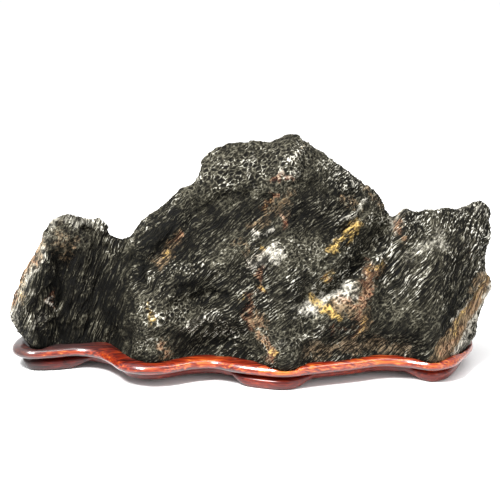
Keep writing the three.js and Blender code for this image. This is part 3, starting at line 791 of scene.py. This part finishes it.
@dataclass
class Stone:
    """The mountain stone: its CAD solid, weathered into ribs, pits and ledges."""

    name: str = "mountain_stone"
    cell: float = 1.0 * MM  # size of the mesh's faces
    most_faces: int = 196000
    pit_depth: float = 1.1 * MM
    fold_depth: float = 1.6 * MM
    crag_depth: float = 1.6 * MM
    smooth_relief: float = 0.25  # share of the relief that is left where the rock is smooth
    free_heights: Point = (20.0, 29.0)  # below the first it keeps its fit in the seat, in millimetres
    stray: Point = (2.2, 1.1)  # how far a patch's edge wanders, in long and in short waves
    rock: RibbedRock = field(default_factory=RibbedRock)

    def build(self) -> bpy.types.Object:
        """Builds, weathers and dresses the stone.

        Returns:
            The finished stone.
        """
        stone = copy_of_node("stone", self.name)
        even = stone.modifiers.new("even faces", "REMESH")
        even.mode = "VOXEL"
        even.voxel_size = self.cell
        rounding = stone.modifiers.new("round the facets", "SMOOTH")
        rounding.factor = 0.5
        rounding.iterations = 10
        apply_modifiers(stone)
        self.paint(stone)
        self.weather(stone)
        select_only(stone)
        bpy.ops.object.shade_smooth()
        stone.data.materials.append(self.material())
        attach(stone, "root")
        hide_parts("stone")
        return stone

    def paint(self, stone: bpy.types.Object) -> None:
        """Stores each vertex's undisplaced place, and the patches, cuts and free height on it.

        Args:
            stone: The even mesh.
        """
        place = corners(stone)
        rest = stone.data.attributes.new("rest", "FLOAT_VECTOR", "POINT")
        rest.data.foreach_set("vector", place.astype(np.float32).ravel())
        x = place[:, 0] / MM - PLAN_SHIFT[0]
        y = place[:, 1] / MM
        z = place[:, 2] / MM
        # Uneven edges for the patches: a few waves of different lengths, in millimetres.
        far, near = self.stray
        stray_x = x + far * np.sin(z / 3.7 + 1.9 * np.sin(x / 8.3)) + near * np.sin(z / 1.6 + x / 2.3)
        stray_z = z + far * np.sin(x / 4.1 + 1.7 * np.sin(z / 7.1)) + near * np.sin(x / 1.8 - z / 2.6)
        back = smoothstep(*FRONT_ENDS, y)
        faces = {FRONT: 1.0 - back, BACK: back, BOTH: np.ones_like(back)}
        layers = {tint.value: np.zeros_like(x) for tint in Tint}
        for patch in PATCHES:
            weight = patch.weight(stray_x, stray_z) * faces[patch.side]
            layers[patch.tint.value] = np.maximum(layers[patch.tint.value], weight)
        lift = np.zeros_like(x)
        for cut in CUTS:
            lift += cut.lift(x, z) * faces[cut.side]
        layers["carve"] = lift * MM
        layers["free"] = smoothstep(*self.free_heights, z)
        for name, values in layers.items():
            layer = stone.data.attributes.new(name, "FLOAT", "POINT")
            layer.data.foreach_set("value", values.astype(np.float32))

    def weather(self, stone: bpy.types.Object) -> None:
        """Cuts the crags, folds, ribs and pits into the mesh.

        Args:
            stone: The painted mesh.
        """
        tree = bpy.data.node_groups.new("weathering", "GeometryNodeTree")
        for way in ("INPUT", "OUTPUT"):
            tree.interface.new_socket("Geometry", in_out=way, socket_type="NodeSocketGeometry")
        node = partial(add_node, tree)
        entry = node("NodeGroupInput")
        place = node("GeometryNodeInputPosition")
        pitted, smooth, carve, free = (
            node("GeometryNodeInputNamedAttribute", {"Name": name}, data_type="FLOAT")
            for name in (CREPE.value, SMOOTH.value, "carve", "free")
        )
        pattern = rock_pattern(tree, place, pitted, self.rock)
        # Each relief lies as far above the plain stone as below it.
        crease = from_half(tree, self.rock.crag.draw(tree, pattern["bent"]))
        crags = weighted_sum(tree, 0.5 * self.crag_depth, (crease, -6.0 * self.crag_depth))
        folds = weighted_sum(tree, -2.0 * self.fold_depth, (pattern["fold"], 4.0 * self.fold_depth))
        relief = weighted_sum(tree, 0.0, (pattern["flank"], 0.65), (pattern["crest"], 0.35))
        pits = weighted_sum(tree, -0.5 * self.pit_depth, (relief, self.pit_depth))
        height = weighted_sum(tree, crags, (folds, 1.0), (pits, 1.0))
        rough = node(RANGE, [smooth, 0.0, 1.0, 1.0, self.smooth_relief], **EASED)
        height = weighted_sum(tree, carve, (height, rough))
        height = node(MATH, [height, free], operation="MULTIPLY")
        outward = node("GeometryNodeInputNormal")
        shift = node(VECTOR_MATH, {0: outward, "Scale": height}, operation="SCALE")
        moved = node("GeometryNodeSetPosition", {"Geometry": entry, "Offset": shift})
        node("NodeGroupOutput", [moved])
        weathering = stone.modifiers.new("weathering", "NODES")
        weathering.node_group = tree
        apply_modifiers(stone)
        thinning = stone.modifiers.new("fewer faces where it is flat", "DECIMATE")
        thinning.ratio = min(1.0, self.most_faces / (2 * len(stone.data.polygons)))
        apply_modifiers(stone)

    def material(self) -> bpy.types.Material:
        """Makes the rock's finish.

        Returns:
            The material.
        """
        rock = self.rock
        material = empty_material(rock.name)
        tree = material.node_tree
        node = partial(add_node, tree)
        rest = node(ATTRIBUTE, attribute_name="rest").outputs["Vector"]
        carve = node(ATTRIBUTE, attribute_name="carve").outputs["Fac"]
        masks = {tint: node(ATTRIBUTE, attribute_name=tint.value).outputs["Fac"] for tint in Tint}
        pattern = rock_pattern(tree, rest, masks[CREPE], rock)
        crest, flank = pattern["crest"], pattern["flank"]
        # Bleached and dark stretches, a centimetre or two across.
        cloud = rock.cloud.draw(tree, pattern["bent"])
        wear_and_painted_light = node(RANGE, [cloud, 0.34, 0.66, 0.3, 0.78], **EASED)
        haze = node(RANGE, [cloud, 0.45, 0.7, 0.0, 0.09], **EASED)
        for share in (masks[PALE], flank):
            haze = node(MATH, [share, haze], operation="MULTIPLY")
        # Ridges are painted paler, a painted highlight with some wear, and grooves darker, painted shade with
        # some dirt.
        ridge = node(RANGE, [carve, 0.0, 2.0 * MM], **EASED)
        groove_shade_and_dirt = node(RANGE, [carve, 0.0, -3.0 * MM], **EASED)
        wear_and_painted_light = weighted_sum(
            tree, wear_and_painted_light, (masks[PALE], 0.32), (masks[QUIET], -0.36), (masks[SMOOTH], -0.2),
            (ridge, 0.25), (groove_shade_and_dirt, -0.2),
        )
        wear_and_painted_light = node(MATH, [wear_and_painted_light, 0.07], operation="MAXIMUM")
        # Groove and pit bottoms take the ramp's near black, painted shade; crests take its pale end, wear
        # with a painted highlight.
        shown = weighted_sum(tree, 0.0, (flank, 0.06), (crest, 0.84))
        tone = node(RAMP, [node(MATH, [shown, wear_and_painted_light, haze], operation="MULTIPLY_ADD", use_clamp=True)])
        set_ramp(tone, rock.tones)
        colour = tone.outputs[0]
        # Stains take their hue and their cover from the ribs, so that the painted shade in the pits stays
        # dark and the stains are painted lighter on the crests, a painted highlight.
        blotch = rock.blotch.draw(tree, pattern["bent"])
        relief = node(MATH, [flank, crest], operation="ADD")
        raised = node(RANGE, [relief, 0.0, 1.4, 0.12, 1.0], **EASED)
        lighter = node(RANGE, [relief, 0.3, 1.8, -0.14, 0.16], **EASED)
        ribbed = node(MATH, [rock.mottle.draw(tree, pattern["bent"]), lighter], operation="ADD")
        for stain in rock.stains:
            amount = weighted_sum(tree, masks[stain.tint], (blotch, 3.0))
            amount = node(RANGE, [amount, 2.0, 3.0, 0.0, stain.cover], **EASED)
            amount = node(MATH, [amount, raised], operation="MULTIPLY")
            hue = node(RAMP, [weighted_sum(tree, ribbed, (masks[stain.tint], 0.12))])
            step = 0.4 / (len(stain.hues) - 1)
            set_ramp(hue, [(0.34 + step * place, shade) for place, shade in enumerate(stain.hues)])
            colour = node(MIX, {0: amount, 6: colour, 7: hue}, data_type="RGBA").outputs[2]
        grit = rock.grit.draw(tree, pattern["spot"])
        height = weighted_sum(tree, 0.0, (flank, 0.6), (grit, 0.35), (crest, 0.6))
        bump = node("ShaderNodeBump", {"Height": height, "Strength": 1.0, "Distance": rock.bump})
        shader = node("ShaderNodeBsdfPrincipled", {
            "Base Color": colour, "Roughness": rock.roughness, "Specular IOR Level": rock.sheen,
            "Normal": bump,
        })
        node("ShaderNodeOutputMaterial", {"Surface": shader})
        return material


@dataclass(frozen=True)
class LacqueredWood:
    """Carved hardwood, stained red-brown and lacquered.

    The eye sees streaks along the plank, from dark red to orange, under a bright wet gloss. The
    rim's round is painted lighter as a painted highlight, the top is painted lighter as painted light,
    the part under the rim is painted lighter for light that gets under it, and the left end is painted
    dark, painted shade with a painted reflection of the dark stone on its top and tip.
    """

    name: str = "lacquered_hardwood"
    tones: tuple[tuple[float, str], ...] = (
        (0.22, "#1a0403"), (0.40, "#520f08"), (0.58, "#8a2c0c"), (0.80, "#b8752c"),
    )
    # Grey of the painted reflection of the dark stone, on the rim's top at the left end and on its tip.
    reflected_stone_grey: str = "#2a2424"
    roughness: float = 0.28
    specular: float = 0.3
    coat: float = 0.9
    coat_below: float = 0.15  # what is left of the coat on the underside
    coat_roughness: float = 0.1
    coat_ior: float = 1.5
    bump: float = 0.3 * MM
    streaks: Pattern = Pattern((60.0, 1.4, 1.4), 2.5, distortion=0.3)
    broad: Pattern = Pattern((33.333,) * 3)
    # Heights in millimetres, from where a change begins to where it is full.
    # Between round_low and round_top the rim's round is painted lighter, a painted highlight.
    round_low: Point = (13.0, 16.0)
    round_top: Point = (20.4, 18.4)
    # Heights over which the top is painted lighter, painted light.
    painted_light_top: Point = (18.6, 20.2)
    # Heights where the rim's top takes the painted reflection of the dark stone.
    reflection_top: Point = (17.0, 19.0)
    # Below the rim the tone is painted lighter, painted light standing in for light that gets under the rim.
    painted_fill_under_rim: Point = (13.0, 9.0)
    streaked: Point = (9.0, 14.0)
    coated: Point = (9.0, 13.0)
    # The same along the stand.
    # Towards the left end the tone is painted darker, painted shade.
    dark_end: Point = (-90.0, -140.0)
    # Where the tip, and the top from here leftwards, take the painted reflection of the dark stone.
    reflection_tip: Point = (-168.0, -192.0)
    reflection_end: Point = (-100.0, -150.0)


@dataclass(frozen=True)
class Foot:
    """One carved foot.

    Args:
        start: Where it starts along the rim, going anticlockwise, in millimetres.
        end: Where it ends.
        inset: How far its two ends are set in, in millimetres.
        full: How far its two ends swell, from 0 for a point to 1 for a blunt end.
    """

    start: Point
    end: Point
    inset: Point
    full: Point = (0.1, 0.1)


@dataclass
class Stand:
    """The carved stand: a board with a rolled rim, a seat cut to the stone, and six feet."""

    name: str = "carved_stand"
    outline: tuple[Point, ...] = (
        (-199, -12), (-194, -29), (-182, -36), (-163, -34), (-143, -29), (-127, -34), (-116, -46),
        (-104, -65), (-88, -73), (-70, -72), (-46, -61), (-30, -59), (-12, -68), (8, -75), (28, -79),
        (50, -72), (80, -63), (106, -54), (126, -56), (148, -64), (165, -56), (176, -38), (186, -15),
        (187, 6), (180, 28), (165, 42), (140, 48), (112, 44), (84, 50), (54, 60), (20, 57), (-10, 53),
        (-40, 54), (-72, 60), (-104, 53), (-130, 42), (-160, 40), (-186, 24),
    )
    section: tuple[Point, ...] = (
        (-11, 20.6), (-8.5, 20.6), (-5.5, 20.2), (-3.4, 19.5), (-1.8, 18.4), (-0.8, 17.1), (-0.1, 15.8),
        (0, 14.8), (-0.2, 13.9), (-1.0, 12.9), (-3.0, 11.6), (-5.4, 10.9), (-7.4, 10.2), (-8.4, 9.0),
        (-8.8, 7.4), (-9.2, 6.4), (-10.0, 5.6), (-11.6, 5.2),
    )
    foot_section: tuple[Point, ...] = (
        (-12, 11.2), (-9.4, 10.5), (-7.0, 9.8), (-4.6, 9.2), (-3.0, 8.3), (-2.2, 7.0), (-2.1, 5.4),
        (-2.8, 3.5), (-3.8, 1.6), (-5.0, 0.5), (-6.4, 0.0), (-20, 0.0), (-24, 3.0), (-24, 11.2),
    )
    feet: tuple[Foot, ...] = (
        Foot((-197, -20), (-131, -32), (6, -3), (0.85, 0.1)),
        Foot((-24, -62), (58, -69), (0, 0)),
        Foot((115, -55), (186, -15), (3, 4), (0.1, 0.9)),
        Foot((166, 41), (112, 44), (2, 2)),
        Foot((34, 59), (-28, 53), (2, 2)),
        Foot((-112, 50), (-168, 37), (2, 2)),
    )
    foot_top: float = 11.2  # height where a foot meets the board
    foot_root: float = -13.0  # how far out from the rim it starts
    foot_tip: float = 0.3  # share of its height that is left at its ends
    swell: Point = (2.6, 0.6)  # how roundly it swells along its length
    sweep: float = 0.26  # share of its length over which each end sweeps up
    foot_stations: int = 28
    stations: int = 264
    walk_steps: int = 60  # steps of the smooth outline from one of its points to the next
    look_ahead: float = 0.0006  # share of the outline over which its direction is taken
    seat_gap: float = 2.0 * MM
    crease: float = 38.0  # degrees past which an edge stays sharp
    wood: LacqueredWood = field(default_factory=LacqueredWood)

    def __post_init__(self) -> None:
        """Walks the smooth closed outline once, so that places along it can be looked up."""
        points = np.array(self.outline, float) + np.array(PLAN_SHIFT)
        before, after, beyond = np.roll(points, 1, 0), np.roll(points, -1, 0), np.roll(points, -2, 0)
        s0, s1, s2 = (
            np.sqrt(np.linalg.norm(b - a, axis=1))[:, None]
            for a, b in ((before, points), (points, after), (after, beyond))
        )
        leave = ((points - before) / s0 - (after - before) / (s0 + s1) + (after - points) / s1) * s1
        reach = ((after - points) / s1 - (beyond - points) / (s1 + s2) + (beyond - after) / s2) * s1
        walk = [
            points + leave * t + (3 * (after - points) - 2 * leave - reach) * t**2
            + (2 * (points - after) + leave + reach) * t**3
            for t in np.arange(self.walk_steps) / self.walk_steps
        ]
        self._line = np.stack(walk, 1).reshape(-1, 2)
        steps = np.linalg.norm(np.roll(self._line, -1, 0) - self._line, axis=1)
        self._run = np.concatenate([[0.0], np.cumsum(steps)])

    def spot(self, share: np.ndarray) -> np.ndarray:
        """Points of the outline.

        Args:
            share: Places along the outline, where 1 is once round.

        Returns:
            The points, as rows of x and y.
        """
        closed = np.vstack([self._line, self._line[:1]])
        run = (share % 1.0) * self._run[-1]
        return np.stack([np.interp(run, self._run, closed[:, axis]) for axis in (0, 1)], 1)

    def at(self, share: np.ndarray) -> tuple[np.ndarray, np.ndarray]:
        """Points of the outline, and the outward direction there.

        Args:
            share: Places along the outline, where 1 is once round.

        Returns:
            The points and the outward unit vectors, as rows of x and y.
        """
        ahead = self.spot(share + self.look_ahead) - self.spot(share - self.look_ahead)
        ahead /= np.linalg.norm(ahead, axis=1)[:, None]
        return self.spot(share), np.stack([ahead[:, 1], -ahead[:, 0]], 1)

    def place_of(self, point: Point) -> float:
        """The place along the outline nearest to a point."""
        reach = np.linalg.norm(self._line - np.array(point) - np.array(PLAN_SHIFT), axis=1)
        return float(self._run[int(np.argmin(reach))] / self._run[-1])

    def skin(self, name: str, rings: list[np.ndarray]) -> bpy.types.Object:
        """Models a solid from a ring of edges that is extruded ring by ring and then capped.

        Args:
            name: The object's name.
            rings: Each ring's points in millimetres, all with the same count.

        Returns:
            The solid, with its faces outwards.
        """
        count = len(rings[0])
        bpy.ops.object.select_all(action="DESELECT")
        bpy.ops.mesh.primitive_circle_add(vertices=count, radius=MM, fill_type="NOTHING")
        solid = bpy.context.object
        solid.name = solid.data.name = name
        solid.data.vertices.foreach_set("co", (rings[0] * MM).astype(np.float32).ravel())
        for ring in rings[1:]:
            bpy.ops.object.mode_set(mode="EDIT")
            bpy.ops.mesh.extrude_region_move(TRANSFORM_OT_translate={"value": (0, 0, 0)})
            bpy.ops.object.mode_set(mode="OBJECT")
            place = corners(solid)
            place[-count:] = ring * MM
            solid.data.vertices.foreach_set("co", place.astype(np.float32).ravel())
        for first in (0, len(solid.data.vertices) - count):
            bpy.ops.object.mode_set(mode="EDIT")
            bpy.ops.mesh.select_mode(type="VERT")
            bpy.ops.mesh.select_all(action="DESELECT")
            bpy.ops.object.mode_set(mode="OBJECT")
            for vertex in solid.data.vertices[first:first + count]:
                vertex.select = True
            bpy.ops.object.mode_set(mode="EDIT")
            bpy.ops.mesh.edge_face_add()
            bpy.ops.object.mode_set(mode="OBJECT")
        bpy.ops.object.mode_set(mode="EDIT")
        bpy.ops.mesh.select_all(action="SELECT")
        bpy.ops.mesh.normals_make_consistent(inside=False)
        bpy.ops.object.mode_set(mode="OBJECT")
        return solid

    def board(self) -> bpy.types.Object:
        """Models the board with its moulded rim.

        Returns:
            The board's solid.
        """
        points, outward = self.at(np.arange(self.stations) / self.stations)
        rings = [
            np.column_stack([points + outward * outset, np.full(self.stations, height)])
            for outset, height in self.section
        ]
        return self.skin(self.name, rings)

    def foot(self, number: int, foot: Foot) -> bpy.types.Object:
        """Models one foot: its section swept along the rim, swelling from both ends.

        Args:
            number: Its number, for its name.
            foot: Its place.

        Returns:
            The foot's solid.
        """
        start = self.place_of(foot.start)
        length = (self.place_of(foot.end) - start) % 1.0
        rings = []
        for share in np.linspace(0.0, 1.0, self.foot_stations):
            end = foot.full[0] if share < 0.5 else foot.full[1]
            full = end + (1 - end) * (1 - abs(2 * share - 1) ** self.swell[0]) ** self.swell[1]
            down = float(smoothstep(0.0, self.sweep, np.array(min(share, 1 - share))))
            inset = foot.inset[0] + (foot.inset[1] - foot.inset[0]) * share
            (point,), (outward,) = self.at(np.array([start + length * share]))
            ring = []
            for outset, height in self.foot_section:
                out = self.foot_root + (outset - inset - self.foot_root) * full
                tucked = self.foot_top - self.foot_tip * (self.foot_top - height)
                ring.append([*(point + outward * out), tucked + (height - tucked) * down])
            rings.append(np.array(ring))
        return self.skin(f"foot_{number}", rings)

    def build(self) -> bpy.types.Object:
        """Builds and dresses the stand.

        Returns:
            The finished stand.
        """
        stand = self.board()
        for number, foot in enumerate(self.feet, 1):
            self.combine(stand, self.foot(number, foot), "UNION")
        cutter = copy_of_node("stone", "seat_cutter")
        grow = cutter.modifiers.new("clearance", "DISPLACE")
        grow.strength = self.seat_gap
        grow.mid_level = 0.0
        apply_modifiers(cutter)
        self.combine(stand, cutter, "DIFFERENCE")
        select_only(stand)
        bpy.ops.object.shade_smooth_by_angle(angle=math.radians(self.crease))
        stand.data.materials.clear()
        stand.data.materials.append(self.material())
        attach(stand, "root")
        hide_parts("wooden_stand")
        return stand

    def combine(self, solid: bpy.types.Object, other: bpy.types.Object, how: str) -> None:
        """Joins a solid with another, or cuts the other out of it.

        Args:
            solid: The solid that is changed.
            other: The other solid, which is used up.
            how: "UNION" or "DIFFERENCE".
        """
        change = solid.modifiers.new(how.lower(), "BOOLEAN")
        change.operation = how
        change.solver = "MANIFOLD"
        change.object = other
        apply_modifiers(solid)
        bpy.data.objects.remove(other)

    def material(self) -> bpy.types.Material:
        """Makes the lacquered wood's finish.

        Returns:
            The material.
        """
        wood = self.wood
        material = empty_material(wood.name)
        tree = material.node_tree
        node = partial(add_node, tree)
        place = node("ShaderNodeTexCoord").outputs["Object"]
        spot = node(VECTOR_MATH, [place, (1.0 / MM,) * 3], operation="MULTIPLY")
        along, _, height = node("ShaderNodeSeparateXYZ", [spot]).outputs
        streaks = wood.streaks.draw(tree, spot)
        # The streaks are faint below the rim, and the tone changes with the height and the place: a painted
        # highlight on the rim's round, painted light on the top, painted fill light under the rim, and
        # painted shade at the left end.
        contrast = node(RANGE, [height, *wood.streaked, 0.5, 1.0], **EASED)
        low, high = (node(RANGE, [height, *ends], **EASED) for ends in (wood.round_low, wood.round_top))
        round_highlight = node(MATH, [low, high], operation="MULTIPLY")
        changes = [
            node(RANGE, [source, *ends, 0.0, change], **EASED)
            for source, ends, change in (
                (height, wood.painted_fill_under_rim, 0.04), (height, wood.painted_light_top, 0.08), (along, wood.dark_end, -0.10),
            )
        ]
        tone = weighted_sum(
            tree, 0.16, (node(MATH, [streaks, -0.5], operation="ADD"), contrast),
            (wood.broad.draw(tree, spot), 0.4), (round_highlight, 0.20), *((change, 1.0) for change in changes),
        )
        hue = node(RAMP, [tone])
        set_ramp(hue, wood.tones)
        # The rim's top at the left end and its tip are mixed towards grey, a painted reflection of the dark
        # stone.
        dusk = node(RANGE, [height, *wood.reflection_top], **EASED)
        dusk_end = node(RANGE, [along, *wood.reflection_end, 0.0, 0.75], **EASED)
        dusk = node(MATH, [dusk, dusk_end], operation="MULTIPLY")
        tip = node(RANGE, [along, *wood.reflection_tip, 0.0, 0.85], **EASED)
        painted_reflection = node(MATH, [tip, dusk], operation="MAXIMUM")
        colour = node(MIX, {0: painted_reflection, 6: hue, 7: linear(wood.reflected_stone_grey)}, data_type="RGBA").outputs[2]
        bump = node("ShaderNodeBump", {"Height": streaks, "Strength": 0.15, "Distance": wood.bump})
        coat = node(RANGE, [height, *wood.coated, wood.coat_below, wood.coat], **EASED)
        shader = node("ShaderNodeBsdfPrincipled", {
            "Base Color": colour, "Roughness": wood.roughness, "Normal": bump,
            "Specular IOR Level": wood.specular, "Coat Weight": coat,
            "Coat Roughness": wood.coat_roughness, "Coat IOR": wood.coat_ior,
        })
        node("ShaderNodeOutputMaterial", {"Surface": shader})
        return material


@dataclass(frozen=True)
class BackdropPaper:
    """Smooth white paper, which gives the eye an even pale ground."""

    name: str = "white_backdrop_paper"
    white: str = "#f4f4f4"
    roughness: float = 0.5


@dataclass
class Studio:
    """The pale floor, the soft light and the camera of the picture."""

    distance: float = 1.300
    elevation: float = 16.0
    aim_height: float = 0.0958
    lens: float = 112.8
    sensor: float = 36.0
    floor_size: float = 6.0
    light_aim: float = 0.08  # height that the lights point at, over the middle
    surround: float = 1.0
    paper: BackdropPaper = field(default_factory=BackdropPaper)

    def build(self) -> None:
        """Sets the whole scene up around the object."""
        bpy.ops.object.select_all(action="DESELECT")
        self.camera()
        self.floor()
        self.lights()
        bpy.context.scene.view_settings.view_transform = "Standard"

    def camera(self) -> None:
        """Places the camera at the photograph's angle."""
        lift = math.radians(self.elevation)
        aim = Vector((PLAN_SHIFT[0] * MM, PLAN_SHIFT[1] * MM, self.aim_height))
        bpy.ops.object.camera_add(
            location=aim + Vector((0.0, -math.cos(lift), math.sin(lift))) * self.distance,
            rotation=(math.pi / 2 - lift, 0.0, 0.0),
        )
        camera = bpy.context.object
        camera.data.sensor_width = self.sensor
        camera.data.lens = self.lens
        bpy.context.scene.camera = camera

    def floor(self) -> None:
        """Lays the plain pale floor."""
        bpy.ops.mesh.primitive_plane_add(size=self.floor_size)
        floor = bpy.context.object
        floor.name = "floor"
        paper = empty_material(self.paper.name)
        shader = add_node(paper.node_tree, "ShaderNodeBsdfPrincipled", {
            "Base Color": linear(self.paper.white), "Roughness": self.paper.roughness,
        })
        add_node(paper.node_tree, "ShaderNodeOutputMaterial", {"Surface": shader})
        floor.data.materials.append(paper)

    def lights(self) -> None:
        """Hangs the soft lights and sets the pale surround."""
        world = bpy.context.scene.world or bpy.data.worlds.new("surround")
        bpy.context.scene.world = world
        world.use_nodes = True
        surround = world.node_tree.nodes["Background"]
        surround.inputs["Color"].default_value = linear("#ffffff")
        surround.inputs["Strength"].default_value = self.surround
        # Name, place, width and depth in metres, and power in watts.
        for name, place, width, depth, power in (
            ("key", (-0.6, -0.7, 1.3), 0.4, 0.4, 52.0),
            ("fill", (1.1, -1.0, 0.6), 0.9, 0.9, 5.0),
            ("overhead_strip", (0.0, -0.3, 1.25), 1.8, 0.14, 10.0),
        ):
            bpy.ops.object.light_add(type="AREA", location=place)
            lamp = bpy.context.object
            lamp.name = name
            lamp.data.shape = "RECTANGLE"
            lamp.data.energy = power
            lamp.data.size = width
            lamp.data.size_y = depth
            beam = Vector((0.0, 0.0, self.light_aim)) - Vector(place)
            lamp.rotation_euler = beam.to_track_quat("-Z", "Y").to_euler()


def main() -> None:
    """Builds the scene, piece by piece, and reports each."""
    logging.basicConfig(level=logging.INFO, format="%(name)s: %(message)s")
    for maker in (Stone(), Stand()):
        piece = maker.build()
        log.info("%s has %d faces", piece.name, len(piece.data.polygons))
    Studio().build()


if __name__ == "__main__":
    main()
